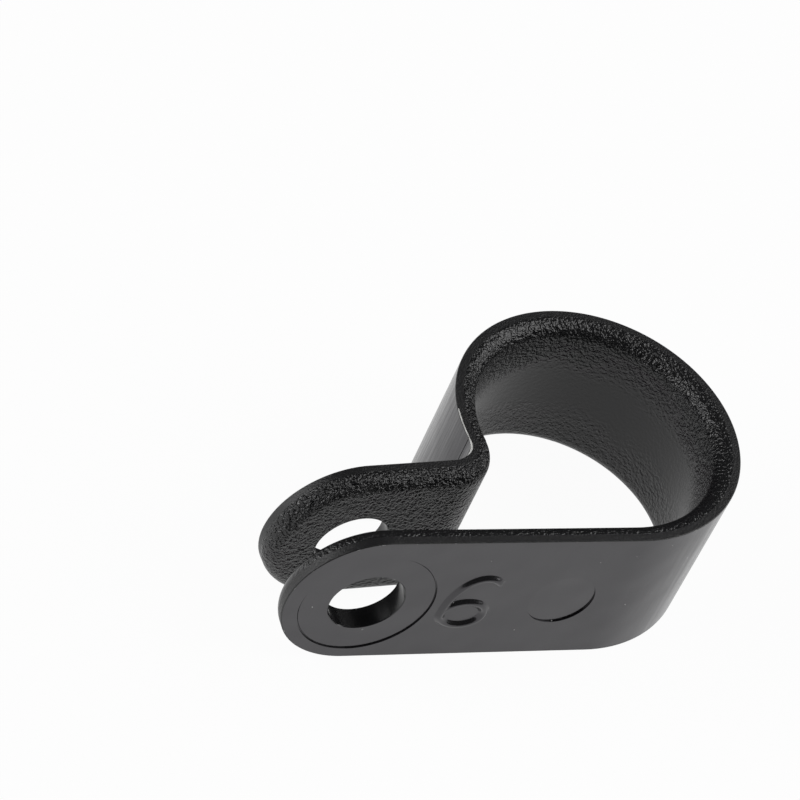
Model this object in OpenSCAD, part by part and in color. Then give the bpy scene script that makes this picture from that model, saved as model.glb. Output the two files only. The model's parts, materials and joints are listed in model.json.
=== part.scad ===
// P clip: one moulded nylon strap that holds a cable against a panel.
// A long flat tab runs straight into a round loop. The loop turns back on itself
// in a tight reverse bend, and ends in a short tab over the long one. One screw
// passes through both tabs. The strap's outer side is flat and sharp edged, and
// its inner edges are rounded, so that they don't cut into the cable.
// The mould splits where the loop meets the reverse bend, and leaves a fine step there.
// X runs along the long tab, Y from the panel towards the short tab, and Z along
// the cable. The origin is where the screw's axis meets the panel, and the strap's
// middle lies a little above it in Z.

/* [Strap] */
// Width of the strap, along the cable
strap_w = 9.5; // [8:0.1:16]
// Thickness of the strap
strap_t = 1.35; // [1:0.05:2]
// Radius of the rounding along the strap's inner edges
edge_r = 0.85; // [0.3:0.05:1]

/* [Loop] */
// Inner diameter of the loop, as moulded
loop_d = 13.8; // [9:0.1:24]
// Distance from the screw to the loop's axis, along the panel
loop_x = 14.45; // [11:0.05:26]

/* [Neck and short tab] */
// Outer radius of the reverse bend between the loop and the short tab
neck_r = 1.3; // [0.8:0.1:2.5]
// Clear gap between the two tabs at the screw, as moulded
tab_gap = 2.65; // [1:0.05:5]
// Angle that the short tab slopes down towards its end, in degrees
tab_slope = 4.2; // [0:0.1:8]

/* [Screw hole] */
// Diameter of the hole through both tabs
hole_d = 4.2; // [3:0.1:5.5]
// How much further along the short tab's hole is moulded, so that the two holes come
// in line as the loop closes
hole_lead = 0.25; // [0:0.05:0.4]

/* [Moulding marks] */
// Diameter of the shallow seat round the screw hole
seat_d = 7.6; // [6:0.1:7.9]
// Diameter of the ejector pin's mark on the long tab
pin_d = 3.8; // [2:0.1:5]
// Distance from the screw to the ejector pin's mark
pin_x = 11.35; // [9:0.05:16]
// Distance that the mould's inserts, for the screw holes and both marks, sit below the
// middle of the strap
insert_drop = 0.25; // [0:0.05:0.5]
// Depth of both marks
mark_depth = 0.08; // [0.04:0.01:0.15]
// Step at the mould's split line: past it the strap is smaller by this much all round
split_step = 0.02; // [0.01:0.01:0.05]

/* [Hidden] */
$fn = 96;
// The rounding always leaves this much of the strap's edge flat
edge_flat = 0.2;
round_r = min(edge_r, strap_t - edge_flat);
// The seat always leaves this much of the strap's face round it
seat_rim = 0.15;
seat_r = min(seat_d / 2, strap_w / 2 - insert_drop - seat_rim);
// Outer radius of the loop, which is tangent to the panel
loop_r = loop_d / 2 + strap_t;
// The short tab's full outer face is this high above the panel, at the screw. Its inner
// face is the far side of the thickness, less the mould's step, and leaves the clear gap.
short_y = strap_t + tab_gap + (strap_t - split_step) / cos(tab_slope);
gap_middle = strap_t + tab_gap / 2;
// The loop runs on past its far side until the reverse bend meets it on a tangent.
// The bend's centre is then a loop radius plus a bend radius from the loop's axis,
// and a bend radius from the line of the short tab's outer face.
centre_r = loop_r + neck_r;
centre_rise = neck_r + loop_x * sin(tab_slope) - (loop_r - short_y) * cos(tab_slope);
loop_end = 180 + tab_slope - asin(centre_rise / centre_r);
bend_angle = loop_end - 90 - tab_slope;
neck_x = loop_x + centre_r * cos(loop_end);
neck_y = loop_r + centre_r * sin(loop_end);
// Length of the short tab, from the screw to the reverse bend
short_len = neck_x * cos(tab_slope) + (neck_y - short_y) * sin(tab_slope);
// Spare length of the cutters beyond what they cut
over = 1;
// Both bends are swept this many degrees too far, and trimmed at the split line
spare_angle = 4;

// Waste beyond the rounding of a radius about the origin, in the first quadrant
module corner_waste(radius) {
    difference() {
        square(2 * radius);
        circle(radius);
    }
}

// Section of the strap, smaller by inset all round. X = 0 is the full strap's outer
// face, and Y runs across its width.
module strap_section(inset = 0) {
    difference() {
        translate([inset, inset - strap_w / 2])
            square([strap_t - 2 * inset, strap_w - 2 * inset]);
        for (side = [0, 1])
            mirror([0, side]) translate([strap_t - round_r, strap_w / 2 - round_r])
                corner_waste(round_r - inset);
    }
}

// Half of the section on its side, which is turned into the round end of a tab
module end_section(inset) {
    difference() {
        translate([0, inset]) square([strap_w / 2 - inset, strap_t - 2 * inset]);
        translate([strap_w / 2 - round_r, strap_t - round_r]) corner_waste(round_r - inset);
    }
}

// Flat tab with a full round end about the screw, its outer face on Y = inset
module tab(length, inset = 0) {
    rotate([90, 0, 90]) linear_extrude(length) strap_section(inset);
    rotate([-90, 90, 0]) rotate_extrude(angle = 180) end_section(inset);
}

// Places its children at the loop's axis, with X towards the loop's end
module at_loop_end() {
    translate([loop_x, loop_r, 0]) rotate([0, 0, loop_end]) children();
}

// Places its children at the reverse bend's centre, with X along the short tab
module at_bend_end() {
    at_loop_end() translate([centre_r, 0, 0]) rotate([0, 0, tab_slope - loop_end]) children();
}

// Cuts away one side of the split line: 1 is what lies beyond the loop's end, 0 before it
module split_cutter(side) {
    trim = strap_w + over;
    at_loop_end() mirror([0, 1 - side, 0]) translate([0, 0, -trim / 2])
        cube([centre_r, neck_r + strap_t, trim]);
}

// The loop, from its tangent on the panel round to the split line
module loop() {
    difference() {
        translate([loop_x, loop_r, 0]) rotate([0, 0, -90])
            rotate_extrude(angle = loop_end + 90 + spare_angle)
                translate([loop_r, 0]) mirror([1, 0]) strap_section();
        split_cutter(1);
    }
}

// The reverse bend, from the split line round to the short tab
module neck() {
    difference() {
        at_bend_end() rotate([0, 0, -90]) rotate_extrude(angle = bend_angle + spare_angle)
            translate([neck_r, 0]) strap_section(split_step);
        split_cutter(0);
    }
}

// The short tab, turned over so that its outer face is the far one
module short_tab() {
    at_bend_end() translate([-short_len, -neck_r, 0]) mirror([0, 1, 0])
        tab(short_len, split_step);
}

// A shallow round mark in the long tab's outer face
module face_mark(x, radius) {
    translate([x, mark_depth, 0]) rotate([90, 0, 0])
        cylinder(h = mark_depth + over, r = radius);
}

// The screw's hole through one tab, between two heights
module screw_hole(x, low, high) {
    translate([x, low, 0]) rotate([-90, 0, 0])
        cylinder(h = high - low, d = hole_d);
}

module clip() {
    color([0.09, 0.09, 0.1])
        difference() {
            translate([0, 0, insert_drop]) {
                tab(loop_x);
                loop();
                neck();
                short_tab();
            }
            screw_hole(0, -over, gap_middle);
            screw_hole(hole_lead, gap_middle, short_y + over);
            face_mark(0, seat_r);
            face_mark(pin_x, pin_d / 2);
        }
}

clip();
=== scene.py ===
# %% [markdown]
# # A moulded nylon P clip
#
# A P clip is one nylon strap. A long flat tab lies on the panel, runs into a round loop that
# holds the cable, and comes back through a tight bend to a short tab. One screw closes both.
# The whole clip is one injection moulding, so this scene has one piece and no joints. All
# named sizes are in millimetres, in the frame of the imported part: X runs along the long tab
# from the screw, Y goes up from the panel, and Z runs along the cable.

import json
import math

import bmesh
import bpy
import numpy as np
from mathutils import Matrix, Vector


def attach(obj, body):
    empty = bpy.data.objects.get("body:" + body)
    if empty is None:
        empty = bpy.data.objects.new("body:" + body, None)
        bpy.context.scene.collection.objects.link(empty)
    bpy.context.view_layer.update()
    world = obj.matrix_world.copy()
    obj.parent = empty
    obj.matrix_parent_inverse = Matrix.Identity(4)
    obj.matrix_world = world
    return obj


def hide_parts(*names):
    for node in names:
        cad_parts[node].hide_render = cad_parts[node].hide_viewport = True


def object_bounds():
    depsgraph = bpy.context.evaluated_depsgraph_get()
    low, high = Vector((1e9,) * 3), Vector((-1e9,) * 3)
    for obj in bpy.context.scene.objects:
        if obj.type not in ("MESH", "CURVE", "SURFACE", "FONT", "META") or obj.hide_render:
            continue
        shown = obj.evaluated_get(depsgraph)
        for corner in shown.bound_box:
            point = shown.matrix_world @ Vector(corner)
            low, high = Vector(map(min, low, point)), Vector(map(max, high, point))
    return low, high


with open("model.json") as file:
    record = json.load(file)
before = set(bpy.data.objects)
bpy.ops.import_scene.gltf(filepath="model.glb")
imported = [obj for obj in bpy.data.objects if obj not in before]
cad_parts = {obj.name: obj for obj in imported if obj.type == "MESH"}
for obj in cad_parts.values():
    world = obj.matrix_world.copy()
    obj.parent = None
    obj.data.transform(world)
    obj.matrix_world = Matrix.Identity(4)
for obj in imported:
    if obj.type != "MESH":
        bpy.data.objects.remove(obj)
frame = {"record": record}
cad_low, cad_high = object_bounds()
MM = 0.001
print("packed part, mm:", [round(v / MM, 2) for v in cad_high - cad_low])

# %% [markdown]
# ## Sizes
#
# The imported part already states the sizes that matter: its box gives the width of the strap
# and the loop's outer radius, and its mounts give the loop's bore and the screw hole. They
# are read from there, so that the surface made here can't drift away from the part. The few
# sizes that neither of them states, such as the bend's radius, are named below.

# %% Read the main sizes from the part
mounts = {m["name"]: m for m in frame["record"]["mounts"]}
strap_w = (cad_high.z - cad_low.z) / MM
loop_r = cad_high.y / MM / 2
loop_x = cad_high.x / MM - loop_r
strap_t = loop_r - mounts["cable_loop"]["dims"]["r_mm"]
hole_r = mounts["screw_hole"]["dims"]["r_mm"]
table_z = cad_low.z / MM
middle_z = (cad_low.z + cad_high.z) / MM / 2
hole_lead = mounts["short_tab_hole"]["pos_m"][0] / MM

edge_r = 0.85       # rounding along the inner edges
neck_r = 1.3        # outer radius of the reverse bend
tab_gap = 2.65      # clear gap between the tabs at the screw
tab_slope = 4.2     # slope of the short tab, degrees
split_step = 0.02   # step where the two halves of the mould meet
rim = 0.04          # small bevel that wears onto every sharp moulded edge
print("strap", round(strap_w, 3), "x", round(strap_t, 3), "loop radius", round(loop_r, 3))

# %% [markdown]
# ## The camera
#
# The clip lies on its side edge, and is seen from above the screw end with a long lens. The
# camera is described by the point it looks at, its direction and distance, and how far it is
# rolled about its own axis.

# %% Place the camera
view_point = (4.41, 11.84, 2.69)    # point in the middle of the picture
view_azimuth = -34.23
view_elevation = 43.38
view_roll = 25.3
view_distance = 200.0
lens_mm = 165.97

azimuth, elevation = math.radians(view_azimuth), math.radians(view_elevation)
back = Vector((math.sin(azimuth) * math.cos(elevation),
               -math.cos(azimuth) * math.cos(elevation),
               math.sin(elevation)))
camera_data = bpy.data.cameras.new("camera")
camera_data.lens = lens_mm
camera_data.sensor_width = 36.0
camera = bpy.data.objects.new("camera", camera_data)
bpy.context.scene.collection.objects.link(camera)
level = (-back).to_track_quat("-Z", "Y")
camera.rotation_mode = "QUATERNION"
camera.rotation_quaternion = level @ Matrix.Rotation(math.radians(view_roll), 3, "Z").to_quaternion()
camera.location = (Vector(view_point) + back * view_distance) * MM
bpy.context.scene.camera = camera
print("camera at, mm:", [round(v / MM, 1) for v in camera.location])

# %% [markdown]
# ## The centreline
#
# Seen from the side, the strap's outer face is a line, two arcs and a line, each tangent to
# the next. It could be a drawn curve, but then the tangent points would be numbers typed in.
# Here the bend's centre is worked out instead: it lies a loop radius plus a bend radius from
# the loop's centre, and a bend radius from the line of the short tab.

# %% Work out where the arcs meet
slope = math.radians(tab_slope)
short_y = strap_t + tab_gap + (strap_t - split_step) / math.cos(slope)
centre_r = loop_r + neck_r
rise = neck_r + loop_x * math.sin(slope) - (loop_r - short_y) * math.cos(slope)
loop_end = math.pi + slope - math.asin(rise / centre_r)
loop_centre = np.array([loop_x, loop_r])
neck_centre = loop_centre + centre_r * np.array([math.cos(loop_end), math.sin(loop_end)])
tab_along = np.array([-math.cos(slope), -math.sin(slope)])
tab_inward = np.array([math.sin(slope), -math.cos(slope)])
screw_top = np.array([0.0, short_y])
print("the loop ends at", round(math.degrees(loop_end), 2), "degrees")


def arc(centre, radius, start, end, count, inward_sign):
    """Points on a circle: centre plus radius times (cos, sin) of the angle, with the
    direction from the strap's outer face into its thickness at each point."""
    angle = np.linspace(start, end, count)
    out = np.stack([np.cos(angle), np.sin(angle)], axis=1)
    return centre + radius * out, inward_sign * out


def line(start, end, inward, count):
    """Evenly spaced points on a straight line, with the same inward direction at each."""
    share = np.linspace(0, 1, count)[:, None]
    return start + share * (end - start), np.tile(inward, (count, 1))


tab_stations, loop_stations, neck_stations, short_stations = 30, 190, 40, 14
neck_start, neck_end = loop_end - math.pi, slope - math.pi / 2
tab_root = neck_centre + neck_r * tab_inward
stretches = [
    (line(np.array([0.0, 0.0]), np.array([loop_x, 0.0]), np.array([0.0, 1.0]),
          tab_stations), 0.0),
    (arc(loop_centre, loop_r, -math.pi / 2, loop_end, loop_stations, -1), 0.0),
    (arc(neck_centre, neck_r, neck_start, neck_end, neck_stations, 1), split_step),
    (line(tab_root, screw_top, tab_inward, short_stations), split_step),
]
path = np.concatenate([s[0][0] for s in stretches])
inward = np.concatenate([s[0][1] for s in stretches])
inset = np.concatenate([np.full(len(s[0][0]), s[1]) for s in stretches])
print(len(path), "stations along the strap")

# %% [markdown]
# ## The section
#
# Cut across, the strap is flat outside with sharp edges, and its inner edges are rounded so
# that they don't bite into the cable. A Bevel modifier could round all four edges, but not
# by different amounts. So the section is drawn as a profile of depth and width, one half of
# it at a time. Points set close to each edge keep the wide flats flat when they are shaded
# smooth. Each stretch of the profile is also given the finish that the mould leaves there.

# %% The section's half profile
# The finishes, in the order of the material slots
finish_count = 6
OUTER, EDGE, INNER, BORE, RIM, FLASH = range(finish_count)
flat_margin = 0.03                     # support points lie this near to an edge
half_w = strap_w / 2


def half_profile(shrink):
    """From the middle of the outer face, over one edge, to the middle of the inner face, as
    (depth, width) pairs, with the finish of the stretch that starts at each pair."""
    low, high, side = shrink, strap_t - shrink, half_w - shrink
    corner = edge_r - shrink
    turn = np.linspace(0, math.pi / 2, 13)
    rounding = np.stack([strap_t - edge_r + corner * np.sin(turn),
                         half_w - edge_r + corner * np.cos(turn)], axis=1)
    outer_z = np.array([0, 0.25, 0.5, 0.75, 1]) * (side - rim - flat_margin)
    outer = np.stack([np.full(5, low), outer_z], axis=1)
    edge = np.array([[low, side - rim], [low + rim, side], [low + rim + flat_margin, side],
                     [strap_t - edge_r - flat_margin, side]])
    inner_z = np.array([1, 0.75, 0.5, 0.25, 0]) * (half_w - edge_r - flat_margin)
    inner = np.stack([np.full(5, high), inner_z], axis=1)
    points = np.concatenate([outer, edge, rounding, inner])
    finish = np.full(len(points), INNER)
    finish[:4] = OUTER
    finish[4] = RIM
    finish[5:8] = EDGE
    return points, finish


profile, profile_finish = half_profile(0.0)
rows = len(profile)
print("half profile of", rows, "points; flat on the edge", round(strap_t - edge_r - rim, 2), "mm")

# %% [markdown]
# ## The strap's skin
#
# The strap is the section carried along the centreline, and each tab's round end is half of
# the section turned about the screw. Both are grids with two parameters: the place along the
# path or round the end, and the place round the section. They are worked out as whole arrays
# and welded where they meet.

# %% Carry the section along the path
class Skin:
    """Collects grids of points, with one finish for each row of faces."""

    def __init__(self):
        self.points, self.faces, self.finish, self.count = [], [], [], 0

    def add_grid(self, points, finish):
        """Adds a grid of (rows, columns, 3) points. A face joins each four neighbours."""
        across, along = points.shape[:2]
        index = np.arange(across * along).reshape(across, along) + self.count
        quads = np.stack([index[:-1, :-1], index[1:, :-1], index[1:, 1:], index[:-1, 1:]], axis=-1)
        self.points.append(points.reshape(-1, 3))
        self.faces.append(quads.reshape(-1, 4))
        self.finish.append(np.repeat(finish[:across - 1], along - 1))
        self.count += across * along


def mesh_object(name, points, faces, finish=None, weld=1e-4):
    """Makes a mesh object from arrays in millimetres. Points closer than weld become one,
    which closes seams and poles, and all faces are turned to point outwards."""
    mesh = bpy.data.meshes.new(name)
    faces = faces.tolist() if isinstance(faces, np.ndarray) else faces
    mesh.from_pydata(np.asarray(points) * MM, [], faces)
    if finish is not None:
        mesh.polygons.foreach_set("material_index", np.asarray(finish, dtype=np.int32))
    work = bmesh.new()
    work.from_mesh(mesh)
    bmesh.ops.remove_doubles(work, verts=work.verts, dist=weld * MM)
    bmesh.ops.dissolve_degenerate(work, edges=work.edges, dist=weld * MM)
    bmesh.ops.recalc_face_normals(work, faces=work.faces)
    work.to_mesh(mesh)
    work.free()
    piece = bpy.data.objects.new(name, mesh)
    bpy.context.scene.collection.objects.link(piece)
    return piece


skin = Skin()
station_profiles = np.stack([half_profile(v)[0] for v in inset], axis=1)
depth, width = station_profiles[..., 0], station_profiles[..., 1]
side_view = path[None] + depth[..., None] * inward[None]
for hand in (1, -1):
    skin.add_grid(np.dstack([side_view, middle_z + hand * width]), profile_finish)
print("strap grid:", side_view.shape[:2], "on each side of the middle")

# %% Turn the tabs' round ends about the screw
def round_end(root, face_inward, outwards, shrink):
    """Half of the section turned through 180 degrees: the width becomes the radius, which
    swings from +Z through the outward direction to -Z."""
    points = half_profile(shrink)[0]
    theta = np.linspace(0, math.pi, 73)
    reach = points[:, 1:2] * np.sin(theta)
    place = root + points[:, 0, None, None] * face_inward + reach[..., None] * outwards
    return np.dstack([place, middle_z + points[:, 1:2] * np.cos(theta)])


skin.add_grid(round_end(np.array([0.0, 0.0]), np.array([0.0, 1.0]), np.array([-1.0, 0.0]), 0.0),
              profile_finish)
skin.add_grid(round_end(screw_top, tab_inward, tab_along, split_step), profile_finish)
clip = mesh_object("clip_strap", np.concatenate(skin.points), np.concatenate(skin.faces),
                   np.concatenate(skin.finish))
print("strap skin:", len(clip.data.polygons), "faces")

# %% [markdown]
# ## Holes and moulding marks
#
# The screw hole goes through both tabs. The long tab's outer face also has a shallow round
# seat about the hole, and the faint tilted disc that an ejector pin left. These could be
# worked into the grid, but circles on a straight grid come out as steps. Boolean modifiers
# keep them crisp: each cutter is a profile turned about its axis, with its own small bevel.

# %% Cutters, turned about their axes
def turned(name, profile_yr, turns, centre, lean=(0.0, 0.0), finish=BORE):
    """A closed body turned about the Y direction: profile_yr lists (height, radius) pairs
    from axis to axis. The height then grows with X and Z by the two slopes in lean."""
    pairs = np.array(profile_yr, float)
    theta = np.linspace(0, 2 * math.pi, turns + 1)
    x = pairs[:, 1:2] * np.cos(theta)
    z = pairs[:, 1:2] * np.sin(theta)
    y = pairs[:, 0:1] + lean[0] * x + lean[1] * z
    grid = np.dstack([x + centre[0], y + centre[1], z + centre[2]])
    part = Skin()
    part.add_grid(grid, np.full(len(pairs), finish))
    return mesh_object(name, part.points[0], part.faces[0], part.finish[0])


seat_r, seat_depth = 3.8, 0.08
pin_r, pin_x, pin_depth = 1.9, 11.35, 0.05
pin_lean = (0.019, -0.019)     # slopes of the mark's floor along X and Z
groove_w = 0.07        # width of the groove that the seat insert leaves
clear = 0.6            # cutters run this far past a face
hole_turns, seat_turns, pin_turns = 96, 180, 120
seat_groove = 0.03     # depth of the groove round the seat; the pin leaves none


def hole_profile(low, high):
    """A bore between two faces, flared at 45 degrees where it breaks out of each."""
    flare = rim + clear
    return [(low - clear, 0), (low - clear, hole_r + flare), (low + rim, hole_r),
            (high - rim, hole_r), (high + clear, hole_r + flare), (high + clear, 0)]


def mark_profile(depth, radius, groove):
    """A shallow disc with a steep wall, and round its foot a narrow groove, as the edge of
    a mould's insert leaves. A groove of 0 leaves the disc plain."""
    wall = 0.1 * (clear + depth)
    return [(-clear, 0), (-clear, radius + wall), (depth + groove, radius),
            (depth + groove, radius - 0.6 * groove_w), (depth, radius - groove_w), (depth, 0)]


short_low = short_y - (strap_t - split_step) / math.cos(slope)
short_high = short_y - split_step / math.cos(slope)
cutters = [
    turned("seat_cutter", mark_profile(seat_depth, seat_r, seat_groove), seat_turns, (0, 0, 0),
           finish=OUTER),
    turned("pin_cutter", mark_profile(pin_depth, pin_r, 0.0), pin_turns, (pin_x, 0, 0),
           lean=pin_lean, finish=OUTER),
    turned("long_tab_hole", hole_profile(seat_depth, strap_t), hole_turns, (0, 0, 0)),
    turned("short_tab_hole", hole_profile(short_low, short_high), hole_turns,
           (hole_lead, hole_lead * math.tan(slope), 0), lean=(math.tan(slope), 0.0)),
]
print("cutters:", [c.name for c in cutters])

# %% [markdown]
# ## The raised figure
#
# The mould's cavity number stands up from the long tab as a rounded ridge. It could be a
# text object, but a moulded figure is cut into the mould with one round cutter, so its
# height depends only on the distance from the line that the cutter followed. Here it is a
# plain 6: a ring and a tail. A height field of that distance makes the two run into each
# other without a seam, and the field is the top of a low slab, sunk in the strap.

# %% Height field of the figure
figure_x, figure_low, figure_high = 5.80, -2.25, 2.27
ridge_w, ridge_h, ridge_sunk = 0.66, 0.19, 0.05
ridge_foot = 1.3                     # the field levels out at this many half widths
slab_back = 0.3                      # the slab's back lies this deep in the strap
ring_rx, ring_rz = 1.26, 0.94        # the ring is an ellipse, wider than it is high
ring_z = figure_low + ridge_w / 2 + ring_rz
tail_rx = 1.75                       # the tail is part of a taller ellipse
tail_rz = figure_high - ridge_w / 2 - ring_z
turn = np.linspace(0, 2 * math.pi, 181)
sweep = np.linspace(math.pi, math.radians(62), 90)
cutter_line = np.concatenate([
    np.stack([figure_x + ring_rx * np.cos(turn), ring_z + ring_rz * np.sin(turn)], axis=1),
    np.stack([figure_x - ring_rx + tail_rx * (1 + np.cos(sweep)),
              ring_z + tail_rz * np.sin(sweep)], axis=1)])


def figure_slab(name, step=0.042, margin=0.25):
    """A slab whose outer face follows the ridge's height: a half cosine of the distance to
    the nearest point of the cutter's line, which runs out just below the strap's face near
    half the ridge's width. Its back and its sides lie inside the strap."""
    low = cutter_line.min(axis=0) - ridge_w / 2 - margin
    high = cutter_line.max(axis=0) + ridge_w / 2 + margin
    x = np.arange(low[0], high[0], step)
    z = np.arange(low[1], high[1], step)
    grid_x, grid_z = np.meshgrid(x, z, indexing="ij")
    apart = np.hypot(grid_x[..., None] - cutter_line[:, 0], grid_z[..., None] - cutter_line[:, 1])
    share = np.clip(apart.min(axis=-1) / (ridge_w / 2), 0, ridge_foot)
    height = (ridge_h + ridge_sunk) * (0.5 + 0.5 * np.cos(share / ridge_foot * math.pi)) - ridge_sunk
    top = np.stack([grid_x, -height, grid_z], axis=-1)
    back = np.stack([grid_x, np.full(grid_x.shape, slab_back), grid_z], axis=-1)
    part = Skin()
    part.add_grid(top, np.zeros(len(x), int))
    part.add_grid(back, np.zeros(len(x), int))
    for edge in ((slice(None), 0), (slice(None), -1), (0, slice(None)), (-1, slice(None))):
        part.add_grid(np.stack([top[edge], back[edge]]), np.zeros(2, int))
    return mesh_object(name, np.concatenate(part.points), np.concatenate(part.faces),
                       np.concatenate(part.finish))


additions = [figure_slab("figure")]
print("figure:", len(additions[0].data.polygons), "faces, from z", figure_low, "to", figure_high)

# %% [markdown]
# ## Flash at the neck
#
# Where the two halves of the mould meet, at the neck, a thin fin of nylon has crept out
# along the strap's outer edge. It is real material, so it is a surface and not a painted
# line: a small wedge carried along the edge, which swells and fades with the place.

# %% Sweep the flash fin
flash_start, flash_end = math.radians(173), math.radians(-52)
flash_base, flash_tall = 0.10, 0.09
flash_stations = 40


def flash_fin(name):
    """A wedge on the strap's side edge. Along it, two bumps, powers of a sine, give the
    height: a long low one up to the split line and a short one round the bend."""
    loop_part = arc(loop_centre, loop_r, flash_start, loop_end, flash_stations, -1)
    neck_part = arc(neck_centre, neck_r, neck_start, flash_end, flash_stations, 1)
    place = np.concatenate([loop_part[0], neck_part[0][1:]])
    into = np.concatenate([loop_part[1], neck_part[1][1:]])
    wave = np.sin(np.linspace(0, math.pi, flash_stations))
    long_bump = wave ** 0.5 * 0.55
    short_bump = wave ** 1.5
    tall = flash_tall * np.concatenate([long_bump, short_bump[1:]]) + 0.004
    outline = np.array([[0.0, -0.05], [0.0, 0.6], [0.25, 1.0], [1.0, 0.0], [1.0, -0.05]])
    depth = split_step + outline[:, :1] * flash_base * (0.4 + 0.6 * tall / flash_tall)
    xy = place[None] + depth[..., None] * into[None]
    z = middle_z + half_w + np.where(outline[:, 1:] < 0, outline[:, 1:], outline[:, 1:] * tall)
    grid = np.dstack([xy, z])
    grid = np.concatenate([grid, grid[:1]])
    part = Skin()
    part.add_grid(grid, np.full(len(grid), FLASH))
    columns = np.arange(grid.shape[0] * grid.shape[1]).reshape(grid.shape[:2])[:-1]
    faces = part.faces[0].tolist() + [columns[:, 0].tolist(), columns[:, -1].tolist()]
    return mesh_object(name, part.points[0], faces, np.full(len(faces), FLASH))


additions.append(flash_fin("flash"))
print("additions:", [a.name for a in additions])

# %% [markdown]
# ## Joining it all into one body
#
# The clip is one moulding, so its visual is one closed mesh too. The Boolean modifiers are
# applied at once and their bodies removed, because what is left is then a plain mesh whose
# edges can be counted: in a closed body every edge has exactly two faces.

# %% Apply the booleans
def combine(piece, others, operation):
    """Adds one Boolean modifier for each other body, applies them and removes the bodies."""
    for other in others:
        modifier = piece.modifiers.new(other.name, "BOOLEAN")
        modifier.object = other
        modifier.operation = operation
        modifier.solver = "EXACT"
        modifier.material_mode = "INDEX"
    bpy.context.view_layer.update()
    evaluated = piece.evaluated_get(bpy.context.evaluated_depsgraph_get())
    mesh = bpy.data.meshes.new_from_object(evaluated)
    piece.modifiers.clear()
    piece.data = mesh
    for other in others:
        bpy.data.objects.remove(other)


def closed_report(piece):
    """Counts the edges that don't have exactly two faces."""
    work = bmesh.new()
    work.from_mesh(piece.data)
    open_edges = sum(not e.is_manifold for e in work.edges)
    triangles = sum(len(f.verts) - 2 for f in work.faces)
    volume = work.calc_volume(signed=True) / MM ** 3
    work.free()
    return f"{open_edges} open edges, {triangles} triangles, {volume:.1f} cubic mm"


for number in range(finish_count):    # empty slots, so that the finishes keep their numbers
    clip.data.materials.append(None)
print("before:", closed_report(clip))
combine(clip, cutters, "DIFFERENCE")
print("cut:", closed_report(clip))
combine(clip, additions, "UNION")
print("joined:", closed_report(clip))
clip.data.polygons.foreach_set("use_smooth", np.ones(len(clip.data.polygons), bool))
clip.data.set_sharp_from_angle(angle=math.radians(30))
finish_of = np.zeros(len(clip.data.polygons), dtype=np.int32)
clip.data.polygons.foreach_get("material_index", finish_of)
print("faces of each finish:", np.bincount(finish_of, minlength=finish_count).tolist())

# %% [markdown]
# ## Writing shader maths as Python
#
# Each finish is a small formula: a mask from the place on the strap, times some grain. With
# this class a socket can be used as a number in such a formula, and Python's operators add
# the Math nodes. Every other node comes from the one method that takes its type, its
# settings and what goes into its sockets.

# %% The shader helper
class Wire:
    """One output socket. Arithmetic on it adds Math nodes to the same material."""

    def __init__(self, graph, socket):
        self.graph, self.socket = graph, socket

    def maths(self, operation, *others):
        return self.graph.node("ShaderNodeMath", {"operation": operation}, self, *others)

    def __add__(self, other):
        return self.maths("ADD", other)

    def __sub__(self, other):
        return self.maths("SUBTRACT", other)

    def __mul__(self, other):
        return self.maths("MULTIPLY", other)

    def __rsub__(self, other):
        return self.graph.node("ShaderNodeMath", {"operation": "SUBTRACT"}, other, self)

    def __abs__(self):
        return self.maths("ABSOLUTE")

    def ramp(self, low, high, to_low=0.0, to_high=1.0):
        """Smoothly from to_low, at low or less, to to_high, at high or more."""
        settings = {"interpolation_type": "SMOOTHSTEP"}
        return self.graph.node("ShaderNodeMapRange", settings, self, low, high, to_low, to_high)

    __radd__ = __add__
    __rmul__ = __mul__


class Graph:
    """A new material's node tree, with its Principled shader."""

    def __init__(self, name):
        self.material = bpy.data.materials.new(name)
        self.material.use_nodes = True
        self.tree = self.material.node_tree
        self.shader = self.tree.nodes["Principled BSDF"]

    def node(self, kind, settings, *values, output=0, **named):
        """Adds a node, sets its settings, then fills its sockets in order or by name."""
        made = self.tree.nodes.new(kind)
        for key, value in settings.items():
            setattr(made, key, value)
        for key, value in [*enumerate(values), *named.items()]:
            self.feed(made.inputs[key.replace("_", " ") if isinstance(key, str) else key], value)
        return Wire(self, made.outputs[output])

    def feed(self, socket, value):
        """Links a wire to a socket, or sets a plain value on it."""
        if isinstance(value, Wire):
            self.tree.links.new(value.socket, socket)
        else:
            socket.default_value = value

    def shade(self, **named):
        """Sets or links the Principled shader's sockets."""
        for key, value in named.items():
            self.feed(self.shader.inputs[key.replace("_", " ")], value)

    def place(self):
        """The place on the object in millimetres, with the origin at the loop's axis."""
        coordinates = self.node("ShaderNodeTexCoord", {}, output="Object")
        return self.node("ShaderNodeMapping", {}, coordinates, Scale=(1 / MM, 1 / MM, 1 / MM),
                         Location=(-loop_x, -loop_r, -middle_z))

    def bump(self, height):
        """A normal from a height in metres."""
        return self.node("ShaderNodeBump", {}, Strength=1.0, Distance=1.0, Height=height)

    def split(self, vector):
        """The three numbers of a vector."""
        made = self.tree.nodes.new("ShaderNodeSeparateXYZ")
        self.feed(made.inputs[0], vector)
        return [Wire(self, made.outputs[i]) for i in range(3)]

    def blend(self, share, first, second):
        """A colour between two: first where the share is 0, second where it is 1."""
        settings = {"data_type": "RGBA"}
        made = self.node("ShaderNodeMix", settings, share, output=2)
        for number, colour in ((6, first), (7, second)):
            self.feed(made.socket.node.inputs[number], colour)
        return made

    def noise(self, vector, scale, detail=2.0, roughness=0.5):
        """Noise from 0 to 1, with scale features to the millimetre."""
        return self.node("ShaderNodeTexNoise", {}, Vector=vector, Scale=scale, Detail=detail,
                         Roughness=roughness)


print("shader helper ready")

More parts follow.
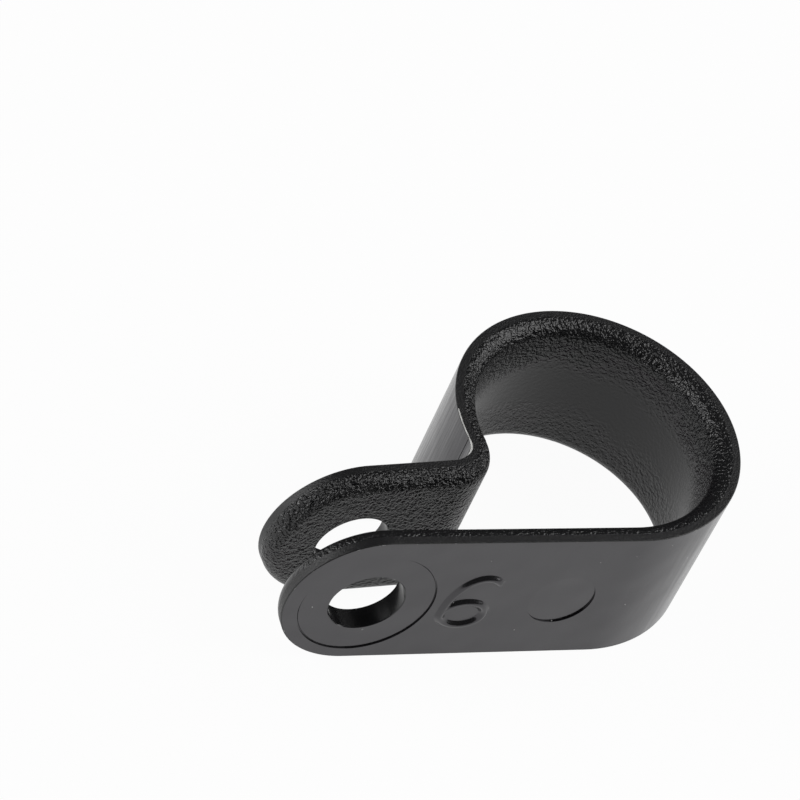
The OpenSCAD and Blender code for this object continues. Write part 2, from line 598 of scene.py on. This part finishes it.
# %% [markdown]
# ## The nylon's finishes
#
# Black nylon hardly has a colour of its own: what tells its surfaces apart is how they
# reflect. The mould was polished outside, so the outer face is satin and slightly wavy. Its
# edges carry a fine grain. Inside, spark erosion left a coarse grain, which is nearly gone
# where the core was rubbed smooth. Each finish is its own material, with a bump whose
# height is a formula in millimetres, so that the grain has its real size.

# %% Satin outer face
nylon_black = (0.0070, 0.0070, 0.0078, 1.0)
# This grey is used for the outer face's dust specks and for the rim's painted glints.
dust_and_glint_grey = (0.42, 0.42, 0.41, 1.0)
# Pale colour painted on the flash fin as a painted highlight.
flash_highlight_white = (0.62, 0.62, 0.60, 1.0)
nylon_ior = 1.53
speck_cells, speck_share, speck_size = 2.0, 0.10, 0.06


def dust(graph, place, cells, share, size):
    """Sparse specks: one possible speck in each cell of a Voronoi pattern, of which only the
    given share is kept. Returns a mask that is 1 on a speck."""
    settings = {"voronoi_dimensions": "3D", "feature": "F1"}
    near = graph.node("ShaderNodeTexVoronoi", settings, Vector=place, Scale=cells)
    cell_colour = graph.node("ShaderNodeTexVoronoi", settings, Vector=place, Scale=cells,
                             output="Color")
    lot = graph.split(cell_colour)
    chosen = lot[0].maths("LESS_THAN", share)
    return chosen * near.maths("LESS_THAN", size * cells * (0.4 + 0.6 * lot[1]))


def finish_outer():
    """Satin: long waves, streaks across the strap, fine orange peel and a few specks."""
    graph = Graph("nylon_satin")
    place = graph.place()
    y = graph.split(place)[1]
    along = graph.node("ShaderNodeVectorMath", {"operation": "MULTIPLY"}, place, (1.0, 1.0, 0.06))
    streak = graph.noise(along, 1.6, 3.0, 0.6)
    wave = graph.noise(place, 0.3, 1.0)
    peel = graph.noise(place, 7.0, 2.0)
    on_loop = y.ramp(-loop_r + 0.2, -loop_r + 2.0)
    height = (0.10 * wave + (0.006 + 0.05 * on_loop) * streak + 0.0012 * peel) * MM
    specks = dust(graph, place, speck_cells, speck_share, speck_size)
    graph.shade(Base_Color=graph.blend(specks, nylon_black, dust_and_glint_grey),
                Roughness=0.13 + 0.10 * graph.noise(place, 0.9, 3.0),
                IOR=nylon_ior, Specular_IOR_Level=0.82, Specular_Tint=(0.975, 0.955, 1.0, 1.0),
                Normal=graph.bump(height))
    return graph.material


def finish_edge():
    """Fine even grain, as left by spark erosion on the parting face."""
    graph = Graph("nylon_edge_grain")
    place = graph.place()
    grain = graph.noise(place, 10.0, 2.0, 0.6)
    graph.shade(Base_Color=nylon_black, Roughness=0.42, IOR=nylon_ior,
                Normal=graph.bump(0.035 * MM * grain))
    return graph.material


def finish_inner():
    """Coarse grain, strongest near the edges and on the short tab, and almost gone in the
    middle of the loop and of the long tab."""
    graph = Graph("nylon_inner_grain")
    place = graph.place()
    x, y, z = graph.split(place)
    patchy = graph.noise(place, 0.35, 2.0) - 0.5
    near_edge = (abs(z) + 2.4 * patchy).ramp(0.6, 3.6)
    on_neck = (x * -1.0 + 1.5 * patchy).ramp(5.2, 7.2)
    off_panel = y.ramp(-loop_r + strap_t + 0.1, -loop_r + strap_t + 0.8)
    neck = on_neck * off_panel
    strength = 0.12 + 0.9 * near_edge.maths("MAXIMUM", neck) + 0.9 * neck
    grain = graph.noise(place, 5.0, 1.5, 0.6).ramp(0.30, 0.70)
    graph.shade(Base_Color=nylon_black, Roughness=0.26, IOR=nylon_ior,
                Normal=graph.bump(0.052 * MM * grain * strength))
    return graph.material


def finish_bore():
    """Smooth wall where the mould's core pin stood."""
    graph = Graph("nylon_bore")
    place = graph.place()
    graph.shade(Base_Color=nylon_black, Roughness=0.16, IOR=nylon_ior,
                Normal=graph.bump(0.002 * MM * graph.noise(place, 5.0)))
    return graph.material


def finish_rim():
    """The sharp outer edge: black, with short light flecks of painted highlight where light glints
    on it.
    """
    graph = Graph("nylon_rim")
    place = graph.place()
    # Painted highlight: light grey flecks in the edge's colour stand in for glints of light on it.
    painted_glint = graph.noise(place, 2.6, 3.0, 0.7).ramp(0.60, 0.66)
    graph.shade(Base_Color=graph.blend(painted_glint, nylon_black, dust_and_glint_grey), Roughness=0.34, IOR=nylon_ior)
    return graph.material


def finish_flash():
    """The flash is painted pale in patches: a painted highlight that stands in for light shining
    through and glinting on the thin fin.
    """
    graph = Graph("nylon_flash")
    place = graph.place()
    # Painted highlight: patches of the fin are made pale in place of the light that the thin fin
    # catches.
    painted_highlight = graph.noise(place, 1.4, 2.0).ramp(0.30, 0.55, 0.35, 1.0)
    graph.shade(Base_Color=graph.blend(painted_highlight, nylon_black, flash_highlight_white), Roughness=0.36,
                IOR=nylon_ior)
    return graph.material


makers = (finish_outer, finish_edge, finish_inner, finish_bore, finish_rim, finish_flash)
for number, make in enumerate(makers):
    clip.data.materials[number] = make()
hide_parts("clip")
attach(clip, "root")
print("finishes:", [m.name for m in clip.data.materials])

# %% [markdown]
# ## The stage
#
# Glossy black shows its surroundings more than itself, so the stage matters as much as the
# material. The clip lies on a white table that glows, as a light table does, so everything
# that faces down reflects white. Two soft boxes stand low, to the right and to the left.
# The room above and behind the camera is dark, and so are the faces that look into it.

# %% Table, lamps and room
table_r = 0.8


def round_table():
    """A flat disc: rings of points, at a radius that grows from the centre."""
    theta = np.linspace(0, 2 * math.pi, 97)
    radius = np.array([0.0, 0.1, 0.3, table_r]) / MM
    grid = np.dstack([radius[:, None] * np.cos(theta), radius[:, None] * np.sin(theta),
                      np.zeros((len(radius), len(theta)))])
    part = Skin()
    part.add_grid(grid + np.array([loop_x / 2, loop_r, table_z]), np.zeros(len(grid), int))
    return mesh_object("table", part.points[0], part.faces[0])


def table_finish():
    """White, with most of it a glow that the camera and mirror-like surfaces see. What is
    left is a matt white that takes the clip's shadow."""
    graph = Graph("table_white")
    graph.shade(Base_Color=(0.86, 0.86, 0.86, 1.0), Roughness=0.9, Specular_IOR_Level=0.2)
    by_camera = graph.node("ShaderNodeLightPath", {}, output="Is Camera Ray")
    by_gloss = graph.node("ShaderNodeLightPath", {}, output="Is Glossy Ray")
    glow = graph.node("ShaderNodeEmission", {}, Color=(1.0, 1.0, 1.0, 1.0), Strength=1.0)
    mixed = graph.node("ShaderNodeMixShader", {}, 0.96 * by_camera + 0.7 * by_gloss,
                       Wire(graph, graph.shader.outputs[0]), glow)
    graph.feed(graph.tree.nodes["Material Output"].inputs["Surface"], mixed)
    return graph.material


def soft_lamp(name, azimuth_deg, elevation_deg, distance, width, height, radiance):
    """A rectangular lamp that looks at the clip from an azimuth and elevation, as the camera
    does. Its power is pi times its radiance times its area."""
    a, e = math.radians(azimuth_deg), math.radians(elevation_deg)
    away = Vector((math.sin(a) * math.cos(e), -math.cos(a) * math.cos(e), math.sin(e)))
    data = bpy.data.lights.new(name, "AREA")
    data.shape = "RECTANGLE"
    data.size, data.size_y = width, height
    data.energy = math.pi * radiance * width * height
    lamp = bpy.data.objects.new(name, data)
    lamp.location = Vector((loop_x / 2, loop_r, 0)) * MM + away * distance
    lamp.rotation_mode = "QUATERNION"
    lamp.rotation_quaternion = (-away).to_track_quat("-Z", "Y")
    bpy.context.scene.collection.objects.link(lamp)
    return lamp


table = round_table()
table.data.materials.append(table_finish())
soft_lamp("right_box", 84, 33, 0.85, 0.9, 0.85, 2.6)
soft_lamp("left_box", -100, 24, 0.85, 0.6, 0.6, 4.5)

world = bpy.data.worlds.new("room")
bpy.context.scene.world = world
world.use_nodes = True
room = world.node_tree
seen = room.nodes.new("ShaderNodeLightPath")
level_of = room.nodes.new("ShaderNodeMapRange")
level_of.inputs["To Min"].default_value = 0.07
level_of.inputs["To Max"].default_value = 1.0
room.links.new(seen.outputs["Is Camera Ray"], level_of.inputs["Value"])
room.links.new(level_of.outputs[0], room.nodes["Background"].inputs["Strength"])
room.nodes["Background"].inputs["Color"].default_value = (1.0, 1.0, 1.0, 1.0)
bpy.context.scene.view_settings.view_transform = "Standard"
print("stage ready")
